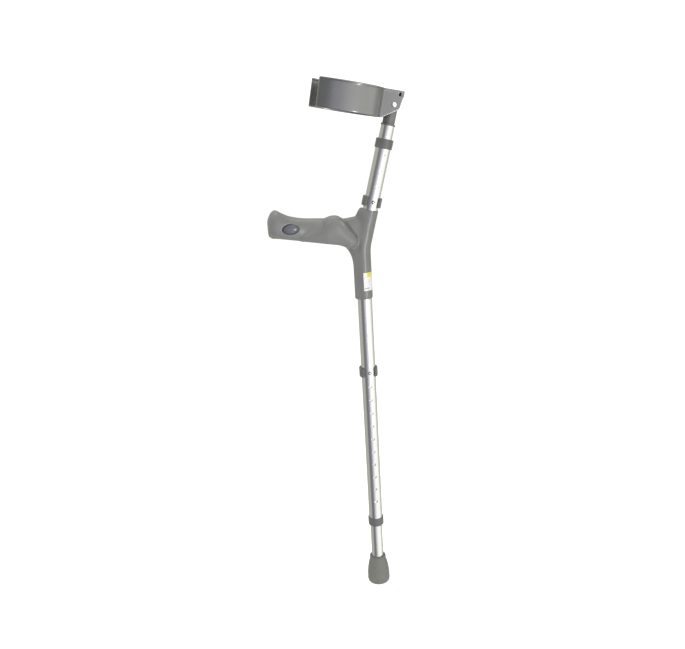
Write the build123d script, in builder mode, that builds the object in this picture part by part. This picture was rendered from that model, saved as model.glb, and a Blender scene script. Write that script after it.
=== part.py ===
from build123d import *
import os
from math import cos, radians, sin, tan

# Forearm (elbow) crutch, adjustable above and below the hand grip.
# Millimetres, +Z up along the lower tube. The origin is the centre of the
# ferrule's bottom face. The grip points to -X, the palm wing is on the -Y side,
# and the upper tube leans back towards +X. Lengths named _S are measured along
# the upper tube's axis from the bend.

# ---- tubes -------------------------------------------------------------------
MAIN_OD = 25.0
LEG_OD = 22.0              # the leg tube and the cuff tube slide in the main tube
WALL = 1.2
RUNNING_FIT = 0.05         # radial clearance of a part that slides in another
BEND_Z = 652.5             # where the two axes of the main tube meet
BEND_ANGLE = 15.0
BEND_RADIUS = 88.0
MAIN_BOTTOM_Z = 127.2
MAIN_TOP_S = 174.5

# ---- height adjustment ---------------------------------------------------------
HOLE_PITCH = 25.4
PEG_HOLE_R = 3.1
PEG_R = 2.9
LEG_PEG_Z = 431.4          # the leg clip's hole, at the shortest setting
LEG_STEPS = 10             # free holes below it
CUFF_PEG_S = 76.3          # the cuff clip's hole, at the lowest setting
CUFF_STEPS = 3             # free holes above it
TUBE_PAST_PEG = 33.0       # how far an inner tube runs on beyond its peg hole
BUSH_HEAD = 8.0
BUSH_SPIGOT = 12.0
BUSH_BORE_R = 8.0
COLLAR_OD = 28.5
COLLAR_LENGTH = 15.4
COLLAR_LIP = 3.0
COLLAR_EDGE = 1.2
CLIP_HEIGHT = 16.0
CLIP_WALL = 3.6
CLIP_GAP = 0.1
CLIP_HALF_MOUTH = 42.0     # degrees from -Y to the tip of each arm
CLIP_TIP_EDGE = 1.4
CLIP_EDGE = 0.8
PEG_TIP_STANDS = 0.6       # how far the peg's tip stands out of the main tube

# ---- ferrule ---------------------------------------------------------------------
FERRULE_HEIGHT = 54.5
FERRULE_FOOT_R = 17.0
FERRULE_WIDEST_R = 20.7
FERRULE_WIDEST_Z = 9.0
FERRULE_NECK_R = 14.6
FERRULE_NECK_Z = 49.0
FERRULE_RIM_R = 15.2
FERRULE_RIM_FOOT = 1.0
FERRULE_RIM_EDGE = 1.5
FERRULE_NECK_LEAN = (-0.35, 1)
WASHER_Z = 12.0
WASHER_THICK = 2.0
TREAD_RADII = (6.0, 11.0)
TREAD_WIDTH = 2.0
TREAD_DEPTH = 1.2

# ---- hand grip -----------------------------------------------------------------------
SLEEVE_R = 13.9
SLEEVE_BOTTOM_Z = 564.5
SLEEVE_TOP_S = 63.5
SLEEVE_EDGE = 0.9
RIDGE_R = 8.5
RIDGE_FRONT = 16.4         # the front ridge's reach from the tube's axis
# Each section across the grip: x, lowest z, highest z, middle y, half width.
GRIP_SECTIONS = (
    (-153.5, 688.0, 712.0, 0.0, 13.0),
    (-149.0, 682.0, 720.0, 0.0, 18.0),
    (-141.0, 679.0, 726.0, 0.0, 21.0),
    (-131.0, 676.8, 720.5, 0.0, 21.0),
    (-119.0, 674.5, 714.0, 0.0, 20.0),
    (-106.0, 672.3, 710.4, 0.0, 20.0),
    (-74.0, 666.5, 706.2, -2.0, 22.0),
    (-45.0, 661.0, 706.0, -5.0, 27.0),
    (-28.0, 654.0, 702.5, -3.0, 21.0),
    (-20.0, 642.0, 705.0, 0.0, 15.0),
    (-12.0, 628.0, 709.0, 0.0, 12.0),
    (-2.0, 618.0, 711.0, 0.0, 11.0),
)
BADGE_X = -118.0
BADGE_Z = 694.5
BADGE_LENGTH = 25.0
BADGE_WIDTH = 14.0
BADGE_FLOOR_Y = -16.5
BADGE_THICK = 2.2
LABEL_BOTTOM_Z = 580.0
LABEL_HEIGHT = 31.0
LABEL_START = -101.0       # degrees about the tube from +X
LABEL_SWEEP = 115.0
LABEL_THICK = 0.3

# ---- cuff ----------------------------------------------------------------------------
CUFF_TUBE_TOP_S = 198.4
PIVOT_S = 230.8
CUFF_DROOP = 3.0           # degrees that the cuff's front hangs below square
CUFF_HEIGHT = 44.0
CUFF_WALL = 3.0
CUFF_BACK_X = -17.0        # back of the band, from the pivot
CUFF_FRONT_X = -126.5       # middle of the mouth; the far arm reaches further
MOUTH_TURN = 3.6
CUFF_SEMI_X = 64.0
CUFF_SEMI_Y = 46.5
RIM_HEIGHT = 2.6
RIM_REACH = 2.4
BRIDGE_REAR_X = 15.0
BRIDGE_CORNER = 6.0
SKIRT_X = 12.2             # front face of the skirt under the bridge's rear edge
SKIRT_DROP = 9.5
EAR_THICK = 3.0
EAR_END_R = 10.5
EAR_FOOT_X = -15.5
EAR_SLOT = (3.0, 5.5)
EAR_SLOT_X = 7.0            # in the near ear only
FREE_GAP = 0.3             # between faces that pass each other
KNUCKLE_R = 10.0
KNUCKLE_RIM_R = 12.0
KNUCKLE_RIM_H = 2.6
KNUCKLE_SPIGOT = 25.0
KNUCKLE_TOP_EDGE = 7.0
PIVOT_R = 3.0
PIVOT_SCREW_R = 1.8
PIVOT_HEAD_R = 4.25
PIVOT_HEAD_H = 2.2
PIVOT_HEAD_EDGE = 1.9
PIVOT_SLOT_W = 1.0
PIVOT_SLOT_D = 0.9

# ---- derived sizes -----------------------------------------------------------------------
MAIN_R = MAIN_OD / 2
LEG_R = LEG_OD / 2
MAIN_BORE_R = MAIN_R - WALL
LEG_BORE_R = LEG_R - WALL
BEND_RUN = BEND_RADIUS * tan(radians(BEND_ANGLE) / 2)
LEAN_X = sin(radians(BEND_ANGLE))
LEAN_Z = cos(radians(BEND_ANGLE))
UPPER_DIR = Vector(LEAN_X, 0, LEAN_Z)
BEND_POINT = Vector(0, 0, BEND_Z)
LEG_BOTTOM_Z = WASHER_Z + WASHER_THICK
LEG_TOP_Z = LEG_PEG_Z + TUBE_PAST_PEG
CUFF_TUBE_BOTTOM_S = CUFF_PEG_S - TUBE_PAST_PEG
EAR_INNER_Y = KNUCKLE_R + FREE_GAP
EAR_OUTER_Y = EAR_INNER_Y + EAR_THICK
PIVOT_HEAD_Y = EAR_OUTER_Y + FREE_GAP / 2
CUFF_HALF_H = CUFF_HEIGHT / 2
CUFF_RISE = BEND_ANGLE - CUFF_DROOP


def tilted_plane(origin, angle):
    """Plane whose normal leans back from +Z by an angle: x to the rear, y to the far side."""
    lean = radians(angle)
    return Plane(origin=origin, x_dir=(cos(lean), 0, -sin(lean)), z_dir=(sin(lean), 0, cos(lean)))


def upper_plane(s):
    """Plane square to the upper tube, s from the bend."""
    return tilted_plane(BEND_POINT + UPPER_DIR * s, BEND_ANGLE)


def side_plane(plane, y=0.0):
    """Side view through a square plane: its x stays, its normal becomes up."""
    return Plane(origin=plane.origin + Vector(0, y, 0), x_dir=plane.x_dir, z_dir=(0, -1, 0))


def export(builder, name):
    """Label a finished piece and write its STEP file."""
    builder.part.label = name
    export_step(builder.part, f"parts/{name}.step")


def main_axis(z_bottom, s_top):
    """The main tube's axis from a height up to s_top, with its bend."""
    with BuildLine(Plane.XZ) as axis:
        lower = Line((0, z_bottom), (0, BEND_Z - BEND_RUN))
        bend = JernArc(lower @ 1, lower % 1, BEND_RADIUS, -BEND_ANGLE)
        Line(bend @ 1, BEND_POINT + UPPER_DIR * s_top)
    return axis.wire()


def drill_through(plane, radius, heights):
    """Drill holes across the crutch, at heights in a side plane."""
    with BuildSketch(plane) as holes:
        with Locations([(0, height) for height in heights]):
            Circle(radius)
    extrude(holes.sketch, amount=MAIN_OD, both=True, mode=Mode.SUBTRACT)


def build_inner_tube(base, length, peg_height):
    """A straight tube that slides in the main tube, with one peg hole."""
    with BuildPart() as tube:
        with BuildSketch(base):
            Circle(LEG_R)
            Circle(LEG_BORE_R, mode=Mode.SUBTRACT)
        extrude(amount=length)
        drill_through(side_plane(base), PEG_HOLE_R, [peg_height])
    return tube


def build_bush(end):
    """Plastic bush in an inner tube's end, with a head that runs in the main tube."""
    with BuildPart() as bush:
        with BuildSketch(end):
            Circle(MAIN_BORE_R - RUNNING_FIT)
        extrude(amount=BUSH_HEAD)
        with BuildSketch(end):
            Circle(LEG_BORE_R)
        extrude(amount=-BUSH_SPIGOT)
        with BuildSketch(end):
            Circle(BUSH_BORE_R)
        extrude(amount=BUSH_SPIGOT, both=True, mode=Mode.SUBTRACT)
    return bush


def build_collar(end):
    """Collar on an end of the main tube; its lip guides the inner tube."""
    with BuildPart() as collar:
        with BuildSketch(end):
            Circle(COLLAR_OD / 2)
        extrude(amount=-COLLAR_LENGTH)
        outer_edges = collar.edges()
        fillet(outer_edges.filter_by(GeomType.CIRCLE), COLLAR_EDGE)
        with BuildSketch(end):
            Circle(LEG_R + RUNNING_FIT)
        extrude(amount=-COLLAR_LENGTH, mode=Mode.SUBTRACT)
        with BuildSketch(end.offset(-COLLAR_LIP)):
            Circle(MAIN_R)
        extrude(amount=-COLLAR_LENGTH, mode=Mode.SUBTRACT)
    return collar


def build_clip(middle):
    """Spring clip round the main tube, with a peg through both tubes."""
    inner_r = MAIN_R + CLIP_GAP
    outer_r = inner_r + CLIP_WALL
    mouth_reach = 2 * outer_r
    mouth_half = mouth_reach * tan(radians(CLIP_HALF_MOUTH))
    with BuildPart() as clip:
        with BuildSketch(middle):
            Circle(outer_r)
            Circle(inner_r, mode=Mode.SUBTRACT)
            Polygon((0, 0), (-mouth_half, -mouth_reach), (mouth_half, -mouth_reach),
                    align=None, mode=Mode.SUBTRACT)
        extrude(amount=CLIP_HEIGHT / 2, both=True)
        tips = clip.edges().filter_by(Axis((0, 0, 0), middle.z_dir))
        fillet(tips, CLIP_TIP_EDGE)
        for end in (0, -1):
            end_face = clip.faces().sort_by(Axis((0, 0, 0), middle.z_dir))[end]
            fillet(end_face.outer_wire().edges(), CLIP_EDGE)
        with BuildSketch(side_plane(middle, inner_r + CLIP_WALL / 2)):
            Circle(PEG_R)
        extrude(amount=inner_r + CLIP_WALL / 2 + MAIN_R + PEG_TIP_STANDS)
    return clip


def build_pivot_half(head_side, shank_r, shank_length, bore_depth=0.0):
    """Domed head and shank of the cuff's pivot, with a bore in the shank for the barrel."""
    outward = Plane(
        origin=pivot_point + Vector(0, head_side * PIVOT_HEAD_Y, 0),
        x_dir=(1, 0, 0),
        z_dir=(0, head_side, 0),
    )
    with BuildPart() as half:
        with BuildSketch(outward):
            Circle(PIVOT_HEAD_R)
        extrude(amount=PIVOT_HEAD_H)
        fillet(half.faces().sort_by(Axis((0, 0, 0), outward.z_dir))[-1].edges(), PIVOT_HEAD_EDGE)
        with BuildSketch(outward.offset(PIVOT_HEAD_H - PIVOT_SLOT_D)):
            Rectangle(PIVOT_SLOT_W, 2 * PIVOT_HEAD_R)
        extrude(amount=PIVOT_SLOT_D, mode=Mode.SUBTRACT)
        with BuildSketch(outward):
            Circle(shank_r)
        extrude(amount=-shank_length)
        if bore_depth:
            with BuildSketch(outward.offset(-shank_length)):
                Circle(PIVOT_SCREW_R)
            extrude(amount=bore_depth, mode=Mode.SUBTRACT)
    return half


os.makedirs("parts", exist_ok=True)

# ---- main tube -----------------------------------------------------------------------------
with BuildPart() as main_tube:
    with BuildSketch(Plane.XY.offset(MAIN_BOTTOM_Z)):
        Circle(MAIN_R)
        Circle(MAIN_BORE_R, mode=Mode.SUBTRACT)
    sweep(path=main_axis(MAIN_BOTTOM_Z, MAIN_TOP_S))
    leg_holes = [LEG_PEG_Z - step * HOLE_PITCH for step in range(LEG_STEPS + 1)]
    drill_through(side_plane(Plane.XY), PEG_HOLE_R, leg_holes)
    cuff_holes = [CUFF_PEG_S + step * HOLE_PITCH for step in range(CUFF_STEPS + 1)]
    drill_through(side_plane(upper_plane(0)), PEG_HOLE_R, cuff_holes)
export(main_tube, "main_tube")

lower_end = Plane(origin=(0, 0, MAIN_BOTTOM_Z - COLLAR_LIP), x_dir=(1, 0, 0), z_dir=(0, 0, -1))
export(build_collar(lower_end), "lower_collar")
export(build_collar(upper_plane(MAIN_TOP_S + COLLAR_LIP)), "upper_collar")

# ---- hand grip -------------------------------------------------------------------------------
with BuildPart() as handle_moulding:
    for x, z_low, z_high, y_mid, half_width in GRIP_SECTIONS:
        across = Plane(origin=(x, y_mid, (z_low + z_high) / 2), x_dir=(0, 1, 0), z_dir=(-1, 0, 0))
        with BuildSketch(across):
            Ellipse(half_width, (z_high - z_low) / 2)
    loft()
    with BuildSketch(Plane.XY.offset(SLEEVE_BOTTOM_Z)):
        Circle(SLEEVE_R)
        with Locations((RIDGE_R - RIDGE_FRONT, 0)):
            Circle(RIDGE_R)
        make_hull()
    sweep(path=main_axis(SLEEVE_BOTTOM_Z, SLEEVE_TOP_S))
    sleeve_foot = handle_moulding.faces().sort_by(Axis.Z)[0]
    fillet(sleeve_foot.edges(), SLEEVE_EDGE)
    with BuildSketch(Plane.XY.offset(SLEEVE_BOTTOM_Z - COLLAR_LIP)):
        Circle(MAIN_R)
    sweep(path=main_axis(SLEEVE_BOTTOM_Z - COLLAR_LIP, SLEEVE_TOP_S + HOLE_PITCH), mode=Mode.SUBTRACT)
    badge_floor = Plane(origin=(BADGE_X, BADGE_FLOOR_Y, BADGE_Z), x_dir=(1, 0, 0), z_dir=(0, -1, 0))
    with BuildSketch(badge_floor):
        Ellipse(BADGE_LENGTH / 2, BADGE_WIDTH / 2)
    extrude(amount=SLEEVE_R, mode=Mode.SUBTRACT)
export(handle_moulding, "handle_moulding")

with BuildPart() as grip_badge:
    with BuildSketch(badge_floor):
        Ellipse(BADGE_LENGTH / 2, BADGE_WIDTH / 2)
    extrude(amount=BADGE_THICK)
    fillet(grip_badge.faces().sort_by(Axis.Y)[0].edges(), BADGE_THICK / 2)
export(grip_badge, "grip_badge")

with BuildPart() as sleeve_label:
    with BuildSketch(Plane.XY.offset(LABEL_BOTTOM_Z)):
        with BuildLine():
            inner_arc = CenterArc((0, 0), SLEEVE_R, LABEL_START, LABEL_SWEEP)
            outer_arc = CenterArc((0, 0), SLEEVE_R + LABEL_THICK, LABEL_START, LABEL_SWEEP)
            Line(inner_arc @ 0, outer_arc @ 0)
            Line(inner_arc @ 1, outer_arc @ 1)
        make_face()
    extrude(amount=LABEL_HEIGHT)
export(sleeve_label, "sleeve_label")

# ---- leg -----------------------------------------------------------------------------------------
leg_base = Plane.XY.offset(LEG_BOTTOM_Z)
leg_tube = build_inner_tube(leg_base, LEG_TOP_Z - LEG_BOTTOM_Z, LEG_PEG_Z - LEG_BOTTOM_Z)
export(leg_tube, "leg_tube")
export(build_bush(Plane.XY.offset(LEG_TOP_Z)), "leg_guide_bush")
export(build_clip(Plane.XY.offset(LEG_PEG_Z)), "leg_clip")

with BuildPart() as ferrule:
    with BuildSketch(Plane.XZ):
        with BuildLine():
            foot = Line((0, 0), (FERRULE_FOOT_R, 0))
            widest = (FERRULE_WIDEST_R, FERRULE_WIDEST_Z)
            Spline(foot @ 1, widest, tangents=((1, 0), (0, 1)))
            neck = (FERRULE_NECK_R, FERRULE_NECK_Z)
            Spline(widest, neck, tangents=((0, 1), FERRULE_NECK_LEAN))
            rim_base = (FERRULE_RIM_R, FERRULE_NECK_Z + FERRULE_RIM_FOOT)
            rim_edge = (FERRULE_RIM_R, FERRULE_HEIGHT - FERRULE_RIM_EDGE)
            rim_top = (FERRULE_RIM_R - FERRULE_RIM_EDGE, FERRULE_HEIGHT)
            Polyline(neck, rim_base, rim_edge, rim_top, (LEG_R, FERRULE_HEIGHT),
                     (LEG_R, WASHER_Z), (0, WASHER_Z), (0, 0))
        make_face()
    revolve(axis=Axis.Z)
    with BuildSketch(Plane.XY):
        for tread_r in TREAD_RADII:
            Circle(tread_r + TREAD_WIDTH / 2)
            Circle(tread_r - TREAD_WIDTH / 2, mode=Mode.SUBTRACT)
    extrude(amount=TREAD_DEPTH, mode=Mode.SUBTRACT)
export(ferrule, "ferrule")

with BuildPart() as ferrule_washer:
    with BuildSketch(Plane.XY.offset(WASHER_Z)):
        Circle(LEG_R - RUNNING_FIT)
    extrude(amount=WASHER_THICK)
export(ferrule_washer, "ferrule_washer")

# ---- cuff tube -------------------------------------------------------------------------------------
cuff_tube_length = CUFF_TUBE_TOP_S - CUFF_TUBE_BOTTOM_S
cuff_tube = build_inner_tube(upper_plane(CUFF_TUBE_BOTTOM_S), cuff_tube_length, TUBE_PAST_PEG)
export(cuff_tube, "cuff_tube")
tube_foot = upper_plane(CUFF_TUBE_BOTTOM_S)
foot_end = Plane(origin=tube_foot.origin, x_dir=tube_foot.x_dir, z_dir=-tube_foot.z_dir)
export(build_bush(foot_end), "cuff_guide_bush")
export(build_clip(upper_plane(CUFF_PEG_S)), "cuff_clip")

pivot_point = BEND_POINT + UPPER_DIR * PIVOT_S
pivot_plane = upper_plane(PIVOT_S)
with BuildPart() as cuff_knuckle:
    with BuildSketch(upper_plane(CUFF_TUBE_TOP_S)):
        Circle(KNUCKLE_R)
    extrude(amount=PIVOT_S + KNUCKLE_R - CUFF_TUBE_TOP_S)
    head_face = cuff_knuckle.faces().sort_by(Axis((0, 0, 0), UPPER_DIR))[-1]
    fillet(head_face.edges(), KNUCKLE_TOP_EDGE)
    with BuildSketch(upper_plane(CUFF_TUBE_TOP_S)):
        Circle(KNUCKLE_RIM_R)
    extrude(amount=KNUCKLE_RIM_H)
    with BuildSketch(upper_plane(CUFF_TUBE_TOP_S)):
        Circle(LEG_BORE_R)
    extrude(amount=-KNUCKLE_SPIGOT)
    drill_through(side_plane(pivot_plane), PIVOT_R, [0])
export(cuff_knuckle, "cuff_knuckle")

barrel_length = PIVOT_HEAD_Y + EAR_OUTER_Y
pivot_barrel = build_pivot_half(-1, PIVOT_R, barrel_length, EAR_OUTER_Y + FREE_GAP)
export(pivot_barrel, "pivot_barrel")
pivot_screw = build_pivot_half(1, PIVOT_SCREW_R, PIVOT_HEAD_Y)
export(pivot_screw, "pivot_screw")

# ---- cuff --------------------------------------------------------------------------------------------
cuff_plane = tilted_plane(pivot_point, CUFF_RISE)
band_middle_x = CUFF_BACK_X - CUFF_SEMI_X
band_inside_x = CUFF_BACK_X - CUFF_WALL
mouth_length = 2 * CUFF_SEMI_X
mouth_width = 2 * (CUFF_SEMI_Y + 2 * RIM_REACH)


def cut_inside_and_mouth():
    """Leave an outline open at the front and clear of the forearm's space."""
    with Locations((band_middle_x, 0)):
        Ellipse(CUFF_SEMI_X - CUFF_WALL, CUFF_SEMI_Y - CUFF_WALL, mode=Mode.SUBTRACT)
    with Locations((CUFF_FRONT_X, 0)):
        Rectangle(mouth_length, mouth_width, rotation=MOUTH_TURN,
                  align=(Align.MAX, Align.CENTER), mode=Mode.SUBTRACT)


with BuildPart() as cuff_shell:
    with BuildSketch(cuff_plane.offset(-CUFF_HALF_H)):
        with Locations((band_middle_x, 0)):
            Ellipse(CUFF_SEMI_X, CUFF_SEMI_Y)
        cut_inside_and_mouth()
    extrude(amount=CUFF_HEIGHT)
    with BuildSketch(cuff_plane.offset(CUFF_HALF_H - RIM_HEIGHT)):
        with Locations((band_middle_x + RIM_REACH, 0)):
            Ellipse(CUFF_SEMI_X, CUFF_SEMI_Y + RIM_REACH)
        with Locations(((BRIDGE_REAR_X + band_inside_x) / 2, 0)):
            Rectangle(BRIDGE_REAR_X - band_inside_x, 2 * EAR_OUTER_Y)
        cut_inside_and_mouth()
    extrude(amount=RIM_HEIGHT)
    bridge_corners = cuff_shell.edges().filter_by(Axis((0, 0, 0), cuff_plane.z_dir))
    fillet(bridge_corners.sort_by(Axis.X)[-2:], BRIDGE_CORNER)
    with BuildSketch(cuff_plane.offset(CUFF_HALF_H - SKIRT_DROP)):
        with Locations(((BRIDGE_REAR_X + band_inside_x) / 2, 0)):
            RectangleRounded(BRIDGE_REAR_X - band_inside_x, 2 * EAR_OUTER_Y, BRIDGE_CORNER)
        with Locations((SKIRT_X, 0)):
            Rectangle(mouth_length, mouth_width, align=(Align.MAX, Align.CENTER), mode=Mode.SUBTRACT)
    extrude(amount=SKIRT_DROP - RIM_HEIGHT)
    for side in (-1, 1):
        ear_face = side_plane(cuff_plane, side * EAR_INNER_Y)
        with BuildSketch(ear_face):
            Circle(EAR_END_R)
            with BuildLine():
                Line((band_inside_x, -CUFF_HALF_H), (EAR_FOOT_X, -CUFF_HALF_H))
                Line((band_inside_x, CUFF_HALF_H), (EAR_END_R, CUFF_HALF_H))
            make_hull()
            Circle(PIVOT_R + RUNNING_FIT, mode=Mode.SUBTRACT)
            if side < 0:
                with Locations((EAR_SLOT_X, CUFF_HALF_H - RIM_HEIGHT - EAR_SLOT[1] / 2)):
                    Rectangle(*EAR_SLOT, mode=Mode.SUBTRACT)
        extrude(amount=-side * EAR_THICK)
export(cuff_shell, "cuff_shell")
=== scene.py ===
"""Forearm crutch: finishes, hand grip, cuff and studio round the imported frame."""
from math import cos, pi, radians, sin, sqrt, tan

import bpy
import numpy as np
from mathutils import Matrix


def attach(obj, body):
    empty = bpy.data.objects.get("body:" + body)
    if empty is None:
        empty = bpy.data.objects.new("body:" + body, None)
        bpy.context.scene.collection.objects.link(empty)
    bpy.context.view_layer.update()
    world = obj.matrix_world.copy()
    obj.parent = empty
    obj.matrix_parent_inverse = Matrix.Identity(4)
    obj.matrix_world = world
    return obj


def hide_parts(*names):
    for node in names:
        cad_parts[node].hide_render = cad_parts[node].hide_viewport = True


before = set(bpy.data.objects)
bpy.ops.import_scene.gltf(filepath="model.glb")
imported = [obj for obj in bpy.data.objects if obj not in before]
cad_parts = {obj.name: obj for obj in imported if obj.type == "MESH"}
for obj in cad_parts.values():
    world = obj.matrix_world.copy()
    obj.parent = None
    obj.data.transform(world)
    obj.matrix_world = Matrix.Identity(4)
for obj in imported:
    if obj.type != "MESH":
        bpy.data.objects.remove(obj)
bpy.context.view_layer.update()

import openvdb
from mathutils import Matrix, Vector

MM = 0.001

# ---- camera ------------------------------------------------------------------
CAMERA_AT = (-0.199, -1.130, 0.875)
CAMERA_YAW = 7.96          # degrees right of +Y
CAMERA_PITCH = 17.22       # degrees below level
CAMERA_ROLL = -3.5
LENS = 36.6307             # focal length and sensor width in millimetres
SENSOR = 36.0


def add_camera():
    """Camera at the photograph's viewing angle."""
    data = bpy.data.cameras.new("camera")
    data.sensor_width = SENSOR
    data.lens = LENS
    camera = bpy.data.objects.new("camera", data)
    bpy.context.scene.collection.objects.link(camera)
    turn = (
        Matrix.Rotation(-radians(CAMERA_YAW), 4, "Z")
        @ Matrix.Rotation(pi / 2 - radians(CAMERA_PITCH), 4, "X")
        @ Matrix.Rotation(radians(CAMERA_ROLL), 4, "Z")
    )
    camera.matrix_world = Matrix.Translation(CAMERA_AT) @ turn
    bpy.context.scene.camera = camera


# ---- materials ---------------------------------------------------------------
COAT_ROUGHNESS = 0.16
LABEL_WHITE = (0.66, 0.66, 0.64)
# Coloured areas of the label in millimetres: x range, z range, colour.
LABEL_AREAS = (
    ((2.6, 11.6), (603.2, 610.4), (0.66, 0.58, 0.03)),
    ((-1.6, 6.5), (583.0, 585.5), (0.42, 0.36, 0.35)),
    ((2.8, 9.0), (595.2, 597.2), (0.58, 0.60, 0.74)),
    ((-1.4, 8.0), (590.2, 591.4), (0.62, 0.62, 0.60)),
)


class Finish:
    """A node material built round one Principled shader."""

    def __init__(self, name, colour, roughness, metallic=0.0):
        self.material = bpy.data.materials.new(name)
        self.material.use_nodes = True
        self.nodes = self.material.node_tree.nodes
        self.links = self.material.node_tree.links
        self.shader = self.nodes["Principled BSDF"]
        self.colour = colour
        self.roughness = roughness
        self.shader.inputs["Base Color"].default_value = (*colour, 1)
        self.shader.inputs["Roughness"].default_value = roughness
        self.shader.inputs["Metallic"].default_value = metallic
        self.place = self.nodes.new("ShaderNodeTexCoord").outputs["Object"]
        self.relief = None

    def noise(self, scale, detail, stretch=(1, 1, 1), tilt=0.0):
        """A noise pattern in object space, stretched along the axes."""
        mapping = self.nodes.new("ShaderNodeMapping")
        mapping.inputs["Scale"].default_value = stretch
        mapping.inputs["Rotation"].default_value = (0, tilt, 0)
        texture = self.nodes.new("ShaderNodeTexNoise")
        texture.inputs["Scale"].default_value = scale
        texture.inputs["Detail"].default_value = detail
        self.links.new(self.place, mapping.inputs["Vector"])
        self.links.new(mapping.outputs["Vector"], texture.inputs["Vector"])
        return texture.outputs["Fac"]

    def tint(self, value, spread):
        """Vary the colour by a share either way."""
        mix = self.nodes.new("ShaderNodeMix")
        mix.data_type = "RGBA"
        mix.inputs["A"].default_value = (*[c * (1 - spread) for c in self.colour], 1)
        mix.inputs["B"].default_value = (*[c * (1 + spread) for c in self.colour], 1)
        self.links.new(value, mix.inputs["Factor"])
        self.links.new(mix.outputs["Result"], self.shader.inputs["Base Color"])

    def rough(self, value, spread):
        """Vary the roughness by an amount either way."""
        node = self.nodes.new("ShaderNodeMapRange")
        node.inputs["To Min"].default_value = self.roughness - spread
        node.inputs["To Max"].default_value = self.roughness + spread
        self.links.new(value, node.inputs["Value"])
        self.links.new(node.outputs["Result"], self.shader.inputs["Roughness"])

    def bump(self, value, strength, distance):
        """Add a relief; several are chained."""
        node = self.nodes.new("ShaderNodeBump")
        node.inputs["Strength"].default_value = strength
        node.inputs["Distance"].default_value = distance
        self.links.new(value, node.inputs["Height"])
        if self.relief is not None:
            self.links.new(self.relief, node.inputs["Normal"])
        self.relief = node.outputs["Normal"]
        self.links.new(self.relief, self.shader.inputs["Normal"])


def aluminium(name, tilt):
    """Satin anodised tube with fine drawn lines along it."""
    finish = Finish(name, colour=(0.80, 0.80, 0.785), roughness=0.24, metallic=1.0)
    lines = finish.noise(scale=60, detail=3.0, stretch=(30, 30, 0.6), tilt=tilt)
    finish.tint(finish.noise(scale=25, detail=2.0), spread=0.03)
    finish.rough(lines, spread=0.06)
    finish.bump(lines, strength=0.05, distance=0.0002)
    return finish.material


def moulded(name, colour, roughness, grain=0.12, coat=0.0, coat_ior=1.5,
            coat_roughness=COAT_ROUGHNESS, specular=0.5):
    """Injection-moulded plastic with a fine spark-eroded grain."""
    finish = Finish(name, colour, roughness)
    cloud = finish.noise(scale=35, detail=3.0)
    finish.tint(cloud, spread=0.07)
    finish.rough(cloud, spread=0.05)
    finish.bump(finish.noise(scale=2600, detail=2.0), strength=grain, distance=0.0001)
    finish.shader.inputs["Coat Weight"].default_value = coat
    finish.shader.inputs["Coat Roughness"].default_value = coat_roughness
    finish.shader.inputs["Coat IOR"].default_value = coat_ior
    finish.shader.inputs["Specular IOR Level"].default_value = specular
    return finish.material


def label_film():
    """White film with a yellow patch at the top right and plain tinted lines."""
    finish = Finish("label_film", LABEL_WHITE, roughness=0.38)
    split = finish.nodes.new("ShaderNodeSeparateXYZ")
    finish.links.new(finish.place, split.inputs["Vector"])

    def between(axis, low, high):
        """One where the coordinate lies between two values, else nought."""
        node = finish.nodes.new("ShaderNodeMath")
        node.operation = "COMPARE"
        node.inputs[1].default_value = (low + high) / 2 * MM
        node.inputs[2].default_value = (high - low) / 2 * MM
        finish.links.new(split.outputs[axis], node.inputs[0])
        return node.outputs["Value"]

    film = None
    for across, up, colour in LABEL_AREAS:
        area = finish.nodes.new("ShaderNodeMath")
        area.operation = "MULTIPLY"
        finish.links.new(between("X", *across), area.inputs[0])
        finish.links.new(between("Z", *up), area.inputs[1])
        mix = finish.nodes.new("ShaderNodeMix")
        mix.data_type = "RGBA"
        mix.inputs["A"].default_value = (*LABEL_WHITE, 1)
        mix.inputs["B"].default_value = (*colour, 1)
        if film is not None:
            finish.links.new(film, mix.inputs["A"])
        finish.links.new(area.outputs["Value"], mix.inputs["Factor"])
        film = mix.outputs["Result"]
    finish.links.new(film, finish.shader.inputs["Base Color"])
    finish.rough(finish.noise(scale=60, detail=2.0), spread=0.04)
    return finish.material


def rubber():
    """Grey vulcanised rubber, matt with a chalky bloom."""
    finish = Finish("ferrule_rubber", colour=(0.150, 0.150, 0.134), roughness=0.60)
    bloom = finish.noise(scale=90, detail=4.0)
    finish.tint(bloom, spread=0.16)
    finish.rough(bloom, spread=0.09)
    finish.bump(finish.noise(scale=1500, detail=3.0), strength=0.25, distance=0.00015)
    return finish.material


def steel():
    """Bright nickel-plated steel."""
    finish = Finish("bright_steel", colour=(0.86, 0.86, 0.85), roughness=0.16, metallic=1.0)
    finish.rough(finish.noise(scale=400, detail=2.0), spread=0.06)
    return finish.material


BEND_ANGLE = radians(15)

ALUMINIUM_LOWER = aluminium("aluminium_lower", tilt=0.0)
ALUMINIUM_UPPER = aluminium("aluminium_upper", tilt=BEND_ANGLE)
GRIP_PLASTIC = moulded(
    "grip_plastic", colour=(0.136, 0.137, 0.133), roughness=0.40, coat=0.7, coat_roughness=0.30)
CUFF_PLASTIC = moulded(
    "cuff_plastic", colour=(0.052, 0.053, 0.051), roughness=0.26, grain=0.03,
    coat=1.0, coat_ior=2.2, specular=0.9)
COLLAR_PLASTIC = moulded("collar_plastic", colour=(0.092, 0.093, 0.092), roughness=0.36, coat=0.4)
KNUCKLE_PLASTIC = moulded(
    "knuckle_plastic", colour=(0.100, 0.101, 0.098), roughness=0.32, coat=0.8, coat_ior=1.7)
BUSH_PLASTIC = moulded("bush_plastic", colour=(0.55, 0.55, 0.53), roughness=0.45)
BADGE_PLASTIC = moulded(
    "badge_plastic", colour=(0.070, 0.073, 0.092), roughness=0.30, grain=0.0, coat=0.6, coat_ior=1.6)
LABEL_FILM = label_film()
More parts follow.
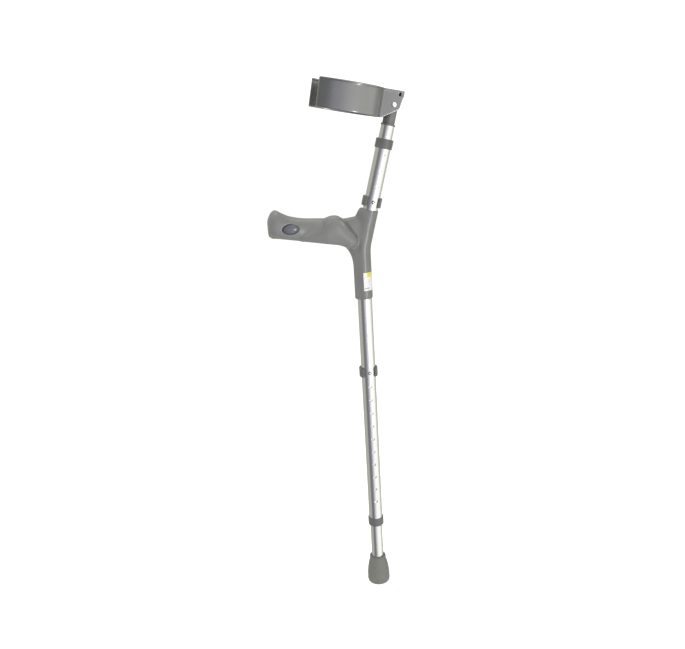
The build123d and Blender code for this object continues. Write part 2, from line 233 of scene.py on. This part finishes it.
RUBBER = rubber()
STEEL = steel()

NODE_FINISH = {
    "main_tube": ALUMINIUM_LOWER,
    "leg_tube": ALUMINIUM_LOWER,
    "cuff_tube": ALUMINIUM_UPPER,
    "handle_moulding": GRIP_PLASTIC,
    "grip_badge": BADGE_PLASTIC,
    "sleeve_label": LABEL_FILM,
    "lower_collar": COLLAR_PLASTIC,
    "upper_collar": COLLAR_PLASTIC,
    "leg_clip": COLLAR_PLASTIC,
    "cuff_clip": COLLAR_PLASTIC,
    "leg_guide_bush": BUSH_PLASTIC,
    "cuff_guide_bush": BUSH_PLASTIC,
    "ferrule": RUBBER,
    "ferrule_washer": STEEL,
    "cuff_knuckle": KNUCKLE_PLASTIC,
    "pivot_barrel": STEEL,
    "pivot_screw": STEEL,
    "cuff_shell": CUFF_PLASTIC,
}
for node_name, node_finish in NODE_FINISH.items():
    for material_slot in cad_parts[node_name].material_slots:
        material_slot.material = node_finish


# ---- shaping tools -------------------------------------------------------------
# Solids are distance fields in millimetres, negative inside, until their mesh is made.
FIELD_BAND = 3.0           # fields are cut off further than this from the surface


def smooth_min(a, b, blend):
    """Union of two fields with a fillet."""
    share = np.clip(0.5 + 0.5 * (b - a) / blend, 0, 1)
    return b * (1 - share) + a * share - blend * share * (1 - share)


def smooth_max(a, b, blend):
    """Intersection of two fields with a rounded edge."""
    return -smooth_min(-a, -b, blend)


def slab(value, low, high):
    """Signed distance to a range of one coordinate."""
    return np.abs(value - (low + high) / 2) - (high - low) / 2


def closed_spline(points, steps=10):
    """Catmull-Rom curve through a ring of points."""
    ring = np.array(points, float)
    curve = []
    for i in range(len(ring)):
        a, b, c, d = (ring[(i + k) % len(ring)] for k in (-1, 0, 1, 2))
        for step in range(steps):
            t = step / steps
            curve.append(0.5 * (2 * b + (c - a) * t + (2 * a - 5 * b + 4 * c - d) * t**2
                                + (3 * b - a - 3 * c + d) * t**3))
    return np.array(curve)


def ellipse_outline(semi_x, semi_y, middle_x, steps=480):
    """Points round an ellipse."""
    turns = np.arange(steps) * 2 * pi / steps
    return np.stack([middle_x + semi_x * np.cos(turns), semi_y * np.sin(turns)], axis=1)


def outline_distance(u, v, outline):
    """Signed distance in a plane to a closed outline, negative inside."""
    nearest = np.full(u.shape, np.inf)
    inside = np.zeros(u.shape, bool)
    for i in range(len(outline)):
        start_u, start_v = outline[i]
        end_u, end_v = outline[(i + 1) % len(outline)]
        edge_u, edge_v = end_u - start_u, end_v - start_v
        along = ((u - start_u) * edge_u + (v - start_v) * edge_v) / (edge_u**2 + edge_v**2)
        along = np.clip(along, 0, 1)
        gap = (u - start_u - along * edge_u) ** 2 + (v - start_v - along * edge_v) ** 2
        nearest = np.minimum(nearest, gap)
        if edge_v != 0:
            crosses = (start_v > v) != (end_v > v)
            inside ^= crosses & (u < start_u + edge_u * (v - start_v) / edge_v)
    return np.where(inside, -1, 1) * np.sqrt(nearest)


def polygonise(field):
    """Quads on the field's zero surface, in grid steps, with normals from its slope."""
    grid = openvdb.FloatGrid(background=FIELD_BAND)
    grid.copyFromArray(np.clip(field, -FIELD_BAND, FIELD_BAND).astype(np.float32))
    points, quads = grid.convertToQuads(isovalue=0.0)
    points = np.array(points, float)
    base = np.clip(points.astype(int), 0, np.array(field.shape) - 2)
    share = points - base
    slope = np.stack(np.gradient(field), axis=-1)
    normals = np.zeros_like(points)
    for corner in np.ndindex(2, 2, 2):
        weight = np.prod(np.where(corner, share, 1 - share), axis=1)
        normals += weight[:, None] * slope[tuple((base + corner).T)]
    normals /= np.linalg.norm(normals, axis=1)[:, None]
    return points, quads, normals


def mesh_object(name, points, faces, normals=None):
    """Smooth-shaded mesh in the scene, from points in metres."""
    mesh = bpy.data.meshes.new(name)
    mesh.from_pydata([tuple(p) for p in points], [], [tuple(int(i) for i in f) for f in faces])
    for polygon in mesh.polygons:
        polygon.use_smooth = True
    if normals is not None:
        mesh.normals_split_custom_set_from_vertices([tuple(n) for n in normals])
    thing = bpy.data.objects.new(name, mesh)
    bpy.context.scene.collection.objects.link(thing)
    return thing


def button(name, centre, semi, face_y, back_y, rings, around):
    """Oval button facing -Y: face_y gives its face at a share of the way out, back_y its flat back."""
    rows = [(ring / rings, face_y(ring / rings)) for ring in range(rings + 1)] + [(1, back_y)]
    points = []
    for share, y in rows:
        for step in range(around):
            turn = 2 * pi * step / around
            points.append((centre[0] + semi[0] * share * cos(turn), y,
                           centre[1] + semi[1] * share * sin(turn)))
    faces = []
    for row in range(rings + 1):
        for step in range(around):
            a = row * around + step
            b = row * around + (step + 1) % around
            faces.append((a, b, b + around, a + around))
    faces.append(tuple((rings + 1) * around + step for step in range(around)))
    return mesh_object(name, np.array(points) * MM, faces)


# ---- hand grip -----------------------------------------------------------------
GRIP_VOXEL = 1.0
GRIP_LOW = (-160.0, -36.0, 552.0)
GRIP_HIGH = (40.0, 32.0, 736.0)
TUBE_R = 12.5
TUBE_CLEAR = 0.02
BEND_Z = 652.5
BEND_RADIUS = 88.0

SLEEVE_R = 13.9
SLEEVE_BOTTOM_Z = 564.5
SLEEVE_TOP_S = 63.5        # along the upper tube from the bend
RIDGE_R = 8.5
RIDGE_FRONT = 16.4
RIDGE_TOP_Z = 682.5

# Each section across the grip: x, lowest z, highest z, half width.
GRIP_SECTIONS = (
    (-160, 679.5, 728.0, 21.5),
    (-149, 679.0, 728.0, 21.5),
    (-141, 678.6, 726.5, 21.5),
    (-131, 676.8, 720.0, 21.0),
    (-119, 674.5, 713.6, 20.0),
    (-106, 672.3, 710.0, 18.8),
    (-92, 669.8, 707.6, 16.4),
    (-74, 666.2, 706.2, 18.0),
    (-56, 663.0, 705.0, 19.0),
    (-45, 661.2, 703.6, 19.0),
    (-36, 659.2, 702.4, 17.5),
    (-28, 655.0, 702.4, 15.5),
    (-22, 647.5, 702.8, 13.6),
    (-18, 636.0, 703.4, 12.8),
    (-12, 624.0, 704.2, 12.4),
    (-4, 630.0, 705.5, 11.5),
    (6, 645.0, 707.0, 11.0),
    (12, 655.0, 707.0, 11.0),
)
SECTION_POWER = 2.3        # a superellipse a little squarer than an ellipse
SECTION_SLOPE = 0.9        # keeps the bar's field close to a true distance
GRIP_REAR_X = 8.0
GRIP_FRONT_X = -153.3
END_X = -155.6             # the crowned end face: its tip, middle and curvature each way
END_MIDDLE_Z = 694.0
END_CURVE_Y = 68.0
END_CURVE_Z = 85.0
SMOOTHING = 3.5            # spread of the smoothing along the table
SMOOTHING_STEP = 0.5
SMOOTHING_REACH = 30       # steps each way

# Outline of the palm swell on the near side: x, z.
SWELL_OUTLINE = (
    (-104, 678), (-98, 683.5), (-84, 689.5), (-69, 698.5), (-62, 705), (-54, 709), (-46, 710),
    (-38, 708.4), (-31, 702.5), (-24, 692), (-16, 681), (-10, 671), (-12, 660), (-24, 656),
    (-40, 661.5), (-64, 666), (-88, 670.5), (-101, 673),
)
SWELL_FACE = 21.5          # how far its edge stands out from the tube's axis
SWELL_CROWN = 7.0          # how much further its middle does
SWELL_CROWN_REACH = 20.0
SWELL_TAPER = 5.0          # how much lower its front end is
SWELL_TAPER_X = -60.0
SWELL_TAPER_REACH = 40.0
SWELL_BACK_Y = -2.0
SWELL_CORNER = 5.0
LIP_HEIGHT = 2.2
LIP_INSET = 3.2
LIP_WIDTH = 2.4
LIP_FROM_Z = 688.0         # the lip fades in above here and behind LIP_FROM_X
LIP_FROM_X = -74.0
LIP_FADE = 14.0

LOBE_AT = (4.5, 709.0)     # the small lobe at the top of the sleeve's front
LOBE_R = 7.0
LOBE_STRETCH = 0.95

BADGE_AT = (-118.0, 694.5)
BADGE_SEMI = (12.5, 7.0)
BADGE_FLOOR_Y = -16.5
BADGE_EDGE_Y = -18.2
BADGE_CROWN = 2.4
BADGE_CROWN_POWER = 2.2
DISH_SEMI = (13.6, 8.4)
DISH_SLOPE = 8.0


def section_value(x, column):
    """One column of the grip's sections against x, interpolated and smoothed."""
    rows = np.array(GRIP_SECTIONS, float)
    margin = 20
    fine = np.arange(rows[0, 0] - margin, rows[-1, 0] + margin, SMOOTHING_STEP)
    value = np.interp(fine, rows[:, 0], rows[:, column])
    steps = np.arange(-SMOOTHING_REACH, SMOOTHING_REACH + 1) * SMOOTHING_STEP
    window = np.exp(-0.5 * (steps / SMOOTHING) ** 2)
    padded = np.pad(value, SMOOTHING_REACH, mode="edge")
    return np.interp(x, fine, np.convolve(padded, window / window.sum(), "valid"))


def along_tube(x, z):
    """Offset from the bent tube's axis in its plane, and length along the upper tube from the bend."""
    centre_z = BEND_Z - BEND_RADIUS * tan(BEND_ANGLE / 2)
    arc_x, arc_z = BEND_RADIUS - x, z - centre_z
    arc_offset = BEND_RADIUS - np.hypot(arc_x, arc_z)
    upper_s = x * sin(BEND_ANGLE) + (z - BEND_Z) * cos(BEND_ANGLE)
    upper_offset = x * cos(BEND_ANGLE) - (z - BEND_Z) * sin(BEND_ANGLE)
    past_bend = np.arctan2(arc_z, arc_x) > BEND_ANGLE
    offset = np.where(z < centre_z, x, np.where(past_bend, upper_offset, arc_offset))
    return offset, upper_s


def grip_bar(x, y, z):
    """The bar of the grip, lofted through its sections, with a crowned end."""
    low, high, half = (section_value(x[:, :1, :1], column) for column in (1, 2, 3))
    middle, rise = (low + high) / 2, (high - low) / 2
    reach = np.abs(y / half) ** SECTION_POWER + np.abs((z - middle) / rise) ** SECTION_POWER
    bar = (reach ** (1 / SECTION_POWER) - 1) * np.minimum(half, rise) * SECTION_SLOPE
    end_face = END_X + y**2 / END_CURVE_Y + (z - END_MIDDLE_Z) ** 2 / END_CURVE_Z - x
    bar = smooth_max(bar, end_face, blend=9.0)
    return smooth_max(bar, x - GRIP_REAR_X, blend=4.0)


def palm_swell(x, y, z):
    """The crowned swell on the near side, with a lip along its upper rear edge."""
    edge = outline_distance(x[:, 0, :], z[:, 0, :], closed_spline(SWELL_OUTLINE))[:, None, :]
    depth = np.clip(-edge / SWELL_CROWN_REACH, 0, 1)
    crown = SWELL_CROWN * (1 - (1 - depth) ** 2)
    fade = np.clip((z - LIP_FROM_Z) / LIP_FADE, 0, 1) * np.clip((x - LIP_FROM_X) / LIP_FADE, 0, 1)
    lip = LIP_HEIGHT * np.exp(-(((edge + LIP_INSET) / LIP_WIDTH) ** 2)) * fade
    taper = SWELL_TAPER * np.clip((SWELL_TAPER_X - x) / SWELL_TAPER_REACH, 0, 1)
    face = np.maximum(-y - (SWELL_FACE + crown + lip - taper), y - SWELL_BACK_Y) + SWELL_CORNER
    side = edge + SWELL_CORNER
    outside = np.hypot(np.maximum(side, 0), np.maximum(face, 0))
    return np.minimum(np.maximum(side, face), 0) + outside - SWELL_CORNER


def build_handle():
    """Grip, palm swell, web and sleeve as one smooth body round the bent tube."""
    axes = [np.arange(a, b + GRIP_VOXEL, GRIP_VOXEL) for a, b in zip(GRIP_LOW, GRIP_HIGH)]
    x, y, z = np.meshgrid(*axes, indexing="ij")

    offset, upper_s = along_tube(x, z)
    radial = np.hypot(offset, y)
    ridge = np.hypot(offset + RIDGE_FRONT - RIDGE_R, y) - RIDGE_R
    ridge = smooth_max(ridge, z - RIDGE_TOP_Z, blend=6.0)
    sleeve = smooth_min(radial - SLEEVE_R, ridge, blend=3.0)
    lobe_z = (z - LOBE_AT[1]) * LOBE_STRETCH
    lobe = np.sqrt((x - LOBE_AT[0]) ** 2 + (y * LOBE_STRETCH) ** 2 + lobe_z**2) - LOBE_R

    body = smooth_min(grip_bar(x, y, z), palm_swell(x, y, z), blend=4.5)
    body = smooth_min(body, sleeve, blend=5.0)
    body = smooth_min(body, lobe, blend=9.0)
    body = smooth_max(body, SLEEVE_BOTTOM_Z - z, blend=2.5)
    body = smooth_max(body, upper_s - SLEEVE_TOP_S, blend=1.2)
    body = smooth_max(body, GRIP_FRONT_X - x, blend=1.0)

    dish = np.hypot((x - BADGE_AT[0]) / DISH_SEMI[0], (z - BADGE_AT[1]) / DISH_SEMI[1])
    dish = np.maximum((dish - 1) * DISH_SLOPE, y - BADGE_FLOOR_Y)
    body = smooth_max(body, -dish, blend=1.2)
    body = np.maximum(body, TUBE_R + TUBE_CLEAR - radial)

    points, quads, normals = polygonise(body)
    points = (points * GRIP_VOXEL + np.array(GRIP_LOW)) * MM
    return mesh_object("hand_grip", points, quads, normals)


def badge_face(share):
    """The badge's crowned face."""
    return BADGE_EDGE_Y - BADGE_CROWN * (1 - share**BADGE_CROWN_POWER)


hand_grip = build_handle()
hand_grip.data.materials.append(GRIP_PLASTIC)
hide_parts("handle_moulding")
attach(hand_grip, "frame")

badge = button("badge", BADGE_AT, BADGE_SEMI, badge_face, BADGE_FLOOR_Y, rings=12, around=72)
badge.data.materials.append(BADGE_PLASTIC)
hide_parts("grip_badge")
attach(badge, "frame")


# ---- cuff ------------------------------------------------------------------------
# Millimetres in the cuff's own frame: x to the rear, y to the far side, z up, from the pivot.
PIVOT = (59.735, 0.0, 875.435)
CUFF_RISE = radians(12)
CUFF_VOXEL = 0.7
CUFF_LOW = (-134.0, -52.0, -25.0)
CUFF_HIGH = (19.0, 52.0, 25.0)
CUFF_HALF_H = 22.0
CUFF_WALL = 3.0
CUFF_SEMI = (64.0, 46.5)
CUFF_MIDDLE_X = -81.0
MOUTH_X = -126.5
MOUTH_TURN = radians(3.6)
RIM_HEIGHT = 2.6
RIM_REACH = 2.4
BRIDGE_REAR_X = 15.0
BRIDGE_CORNER = 6.0
EAR_Y = (10.3, 13.3)
EAR_END_R = 10.5
EAR_END_SWEEP = radians(62)
EAR_END_STEPS = 14
EAR_FOOT_X = -15.5
EAR_ROOT_X = -24.0
EAR_INSET = 0.3            # keeps the ear's edges inside the band's
EAR_SLOT_X = (5.5, 8.5)
EAR_SLOT_Z = (13.9, 19.4)
SKIRT_X = 12.2
SKIRT_Z = 12.5
SKIRT_LAP = 0.6
PIVOT_R = 3.05
WALL_EDGE = 0.8


def to_world(points):
    """Points in the cuff's frame, in millimetres, to the shared frame in metres."""
    x, y, z = points.T
    across = PIVOT[0] + x * cos(CUFF_RISE) + z * sin(CUFF_RISE)
    up = PIVOT[2] - x * sin(CUFF_RISE) + z * cos(CUFF_RISE)
    return np.stack([across, PIVOT[1] + y, up], axis=1) * MM


def bridge_outline(x, y):
    """The rounded oblong that joins the ears, seen from above."""
    corner_x = np.maximum(slab(x, EAR_ROOT_X, BRIDGE_REAR_X) + BRIDGE_CORNER, 0)
    corner_y = np.maximum(np.abs(y) - EAR_Y[1] + BRIDGE_CORNER, 0)
    return np.hypot(corner_x, corner_y) - BRIDGE_CORNER


def cuff_ears(x, y, z):
    """Two ears with the pivot's hole, and a slot in the near one."""
    flat_x, flat_z = (a[:, 0, :] for a in np.broadcast_arrays(x, z))
    top, foot = CUFF_HALF_H - EAR_INSET, EAR_INSET - CUFF_HALF_H
    outline = [(EAR_ROOT_X, top), (SKIRT_X + SKIRT_LAP, top), (SKIRT_X + SKIRT_LAP, SKIRT_Z)]
    for turn in np.linspace(0, -EAR_END_SWEEP, EAR_END_STEPS):
        outline.append((EAR_END_R * cos(turn), EAR_END_R * sin(turn)))
    outline += [(EAR_FOOT_X, foot), (EAR_ROOT_X, foot)]
    side = outline_distance(flat_x, flat_z, outline)
    side = np.maximum(side, PIVOT_R - np.hypot(flat_x, flat_z))
    ears = smooth_max(side[:, None, :], slab(np.abs(y), *EAR_Y), blend=0.9)
    slot = np.maximum(slab(flat_x, *EAR_SLOT_X), slab(flat_z, *EAR_SLOT_Z))
    return ears, np.maximum(slot[:, None, :], y)


def build_cuff():
    """Open band with a rim along its top, two ears and the bridge between them."""
    axes = [np.arange(a, b + CUFF_VOXEL, CUFF_VOXEL) for a, b in zip(CUFF_LOW, CUFF_HIGH)]
    x, y, z = np.meshgrid(*axes, indexing="ij", sparse=True)
    flat_x, flat_y = np.broadcast_arrays(x[:, :, 0], y[:, :, 0])

    def ellipse(grow_x, grow_y, shift):
        """Signed distance to the band's ellipse, grown and shifted to the rear."""
        semi = (CUFF_SEMI[0] + grow_x, CUFF_SEMI[1] + grow_y)
        return outline_distance(flat_x, flat_y, ellipse_outline(*semi, CUFF_MIDDLE_X + shift))

    outer = ellipse(0, 0, 0)[:, :, None]
    clear = -ellipse(-CUFF_WALL, -CUFF_WALL, 0)[:, :, None]
    rim_outline = ellipse(0, RIM_REACH, RIM_REACH)
    bridge = bridge_outline(flat_x, flat_y)

    band = smooth_max(outer, clear, blend=WALL_EDGE)
    band = smooth_max(band, np.abs(z) - CUFF_HALF_H, blend=1.4)

    rim_level = np.maximum(z - CUFF_HALF_H, CUFF_HALF_H - RIM_HEIGHT - z)
    rim = smooth_max(np.minimum(rim_outline, bridge)[:, :, None], clear, blend=WALL_EDGE)
    rim = smooth_max(rim, rim_level, blend=1.0)
    skirt_level = np.maximum(z - CUFF_HALF_H, SKIRT_Z - z)
    skirt = smooth_max(np.maximum(bridge[:, :, None], SKIRT_X - x), skirt_level, blend=1.0)
    rim = np.minimum(rim, skirt)

    ears, slot = cuff_ears(x, y, z)
    ears = np.maximum(smooth_max(ears, clear, blend=WALL_EDGE), -slot)

    shell = smooth_min(smooth_min(band, rim, blend=0.6), ears, blend=1.6)
    mouth = (MOUTH_X - x) * cos(MOUTH_TURN) - y * sin(MOUTH_TURN)
    shell = smooth_max(shell, mouth, blend=1.6)

    points, quads, normals = polygonise(shell)
    world_normals = to_world(normals) / MM - np.array(PIVOT)
    points = to_world(points * CUFF_VOXEL + np.array(CUFF_LOW))
    return mesh_object("cuff", points, quads, world_normals)


cuff = build_cuff()
cuff.data.materials.append(CUFF_PLASTIC)
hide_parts("cuff_shell")
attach(cuff, "cuff")


# ---- peg tips ----------------------------------------------------------------------
LEG_PEG_Z = 431.4
CUFF_PEG_S = 76.3          # along the upper tube from the bend
PIN_FACE_Y = -13.05        # a little inside the end of the clip's peg
PIN_BACK_Y = -12.3
PIN_R = 1.45
PIN_DOME = 0.5


def pin_face(share):
    """The pin's domed face."""
    return PIN_FACE_Y - PIN_DOME * sqrt(1 - share**2)


def build_pin(name, body, x, z):
    """Bright domed rivet head in the tip of a clip's peg."""
    pin = button(name, (x, z), (PIN_R, PIN_R), pin_face, PIN_BACK_Y, rings=6, around=32)
    pin.data.materials.append(STEEL)
    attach(pin, body)


build_pin("leg_clip_pin", "leg_clip_body", 0.0, LEG_PEG_Z)
cuff_peg_x = CUFF_PEG_S * sin(BEND_ANGLE)
cuff_peg_z = BEND_Z + CUFF_PEG_S * cos(BEND_ANGLE)
build_pin("cuff_clip_pin", "cuff_clip_body", cuff_peg_x, cuff_peg_z)


# ---- studio --------------------------------------------------------------------
# Degrees round from the front (-Y) towards +X, and the colour of the surroundings there.
SURROUNDINGS = (
    (-180, (0.55, 0.55, 0.53)),
    (-110, (0.50, 0.49, 0.44)),
    (-88, (0.55, 0.54, 0.48)),
    (-60, (0.17, 0.17, 0.18)),
    (-36, (0.24, 0.24, 0.27)),
    (-12, (0.72, 0.72, 0.82)),
    (20, (1.20, 1.20, 1.18)),
    (74, (1.25, 1.24, 1.16)),
    (98, (0.60, 0.60, 0.55)),
    (180, (0.55, 0.55, 0.53)),
)
DIFFUSE_SHARE = 0.62       # how much of the surroundings lights matt surfaces
OVERHEAD_FROM = 0.45       # sine of the elevation where the overhead white begins
OVERHEAD_TO = 0.85
OVERHEAD_COLOUR = (1.0, 1.0, 1.0, 1)
BACKDROP_COLOUR = (1.2, 1.2, 1.2, 1)
FLOOR_R = 25.0
FLOOR_STEPS = 96
FLOOR_GLOW = 0.5           # even lighting of the floor from its own paper
# Each lamp: name, place, what it points at, width and height, watts, whether it shows in reflections.
LAMPS = (
    ("key", (-1.3, -1.0, 2.0), (-0.05, 0, 0.65), (0.9, 0.9), 30, False),
    ("top", (0.3, 0.5, 3.2), (0, 0, 0.6), (2.4, 2.4), 16, True),
    ("strip", (0.62, -1.25, 0.25), (0, 0, 0.35), (0.25, 0.6), 5, True),
)


def add_lamp(name, place, target, size, power, mirrored):
    """Soft area light."""
    data = bpy.data.lights.new(name, "AREA")
    data.shape = "RECTANGLE"
    data.size, data.size_y = size
    data.energy = power
    lamp = bpy.data.objects.new(name, data)
    lamp.visible_camera = False
    lamp.visible_glossy = mirrored
    bpy.context.scene.collection.objects.link(lamp)
    aim = Vector(target) - Vector(place)
    turn = aim.to_track_quat("-Z", "Y").to_matrix().to_4x4()
    lamp.matrix_world = Matrix.Translation(place) @ turn


def add_floor():
    """Plain pale floor, wide enough to reach the horizon."""
    turns = [2 * pi * step / FLOOR_STEPS for step in range(FLOOR_STEPS)]
    rim = [(FLOOR_R * cos(turn), FLOOR_R * sin(turn), 0.0) for turn in turns]
    mesh = bpy.data.meshes.new("floor")
    mesh.from_pydata(rim, [], [tuple(range(FLOOR_STEPS))])
    floor = bpy.data.objects.new("floor", mesh)
    bpy.context.scene.collection.objects.link(floor)
    finish = Finish("floor_paper", colour=(0.92, 0.92, 0.92), roughness=0.9)
    finish.tint(finish.noise(scale=3, detail=2.0), spread=0.01)
    finish.shader.inputs["Emission Color"].default_value = (1, 1, 1, 1)
    finish.shader.inputs["Emission Strength"].default_value = FLOOR_GLOW
    mesh.materials.append(finish.material)
    floor.visible_glossy = False


def surroundings_ramp(nodes, links, split):
    """The surroundings' colour from the direction's angle round the object."""
    front = nodes.new("ShaderNodeMath")
    front.operation = "MULTIPLY"
    front.inputs[1].default_value = -1.0
    links.new(split.outputs["Y"], front.inputs[0])
    azimuth = nodes.new("ShaderNodeMath")
    azimuth.operation = "ARCTAN2"
    links.new(split.outputs["X"], azimuth.inputs[0])
    links.new(front.outputs["Value"], azimuth.inputs[1])
    turn = nodes.new("ShaderNodeMapRange")
    turn.inputs["From Min"].default_value = -pi
    turn.inputs["From Max"].default_value = pi
    links.new(azimuth.outputs["Value"], turn.inputs["Value"])
    ramp = nodes.new("ShaderNodeValToRGB")
    ramp.color_ramp.interpolation = "EASE"
    while len(ramp.color_ramp.elements) < len(SURROUNDINGS):
        ramp.color_ramp.elements.new(0.5)
    for element, (degrees_round, colour) in zip(ramp.color_ramp.elements, SURROUNDINGS):
        element.position = (degrees_round + 180) / 360
        element.color = (*colour, 1)
    links.new(turn.outputs["Result"], ramp.inputs["Fac"])
    return ramp.outputs["Color"]


def add_world():
    """Soft studio surroundings: bright behind and to the right, duller at the front left."""
    world = bpy.data.worlds.new("studio")
    world.use_nodes = True
    nodes, links = world.node_tree.nodes, world.node_tree.links
    way = nodes.new("ShaderNodeTexCoord")
    split = nodes.new("ShaderNodeSeparateXYZ")
    links.new(way.outputs["Generated"], split.inputs["Vector"])

    overhead = nodes.new("ShaderNodeMapRange")
    overhead.inputs["From Min"].default_value = OVERHEAD_FROM
    overhead.inputs["From Max"].default_value = OVERHEAD_TO
    links.new(split.outputs["Z"], overhead.inputs["Value"])
    sky = nodes.new("ShaderNodeMix")
    sky.data_type = "RGBA"
    sky.inputs["B"].default_value = OVERHEAD_COLOUR
    links.new(overhead.outputs["Result"], sky.inputs["Factor"])
    links.new(surroundings_ramp(nodes, links, split), sky.inputs["A"])

    rays = nodes.new("ShaderNodeLightPath")
    seen = nodes.new("ShaderNodeMix")
    seen.data_type = "RGBA"
    seen.inputs["B"].default_value = BACKDROP_COLOUR
    links.new(rays.outputs["Is Camera Ray"], seen.inputs["Factor"])
    links.new(sky.outputs["Result"], seen.inputs["A"])
    strength = nodes.new("ShaderNodeMapRange")
    strength.inputs["To Min"].default_value = 1.0
    strength.inputs["To Max"].default_value = DIFFUSE_SHARE
    links.new(rays.outputs["Is Diffuse Ray"], strength.inputs["Value"])
    background = nodes["Background"]
    links.new(strength.outputs["Result"], background.inputs["Strength"])
    links.new(seen.outputs["Result"], background.inputs["Color"])
    bpy.context.scene.world = world


add_camera()
add_world()
add_floor()
for lamp_values in LAMPS:
    add_lamp(*lamp_values)
bpy.context.scene.view_settings.view_transform = "Standard"
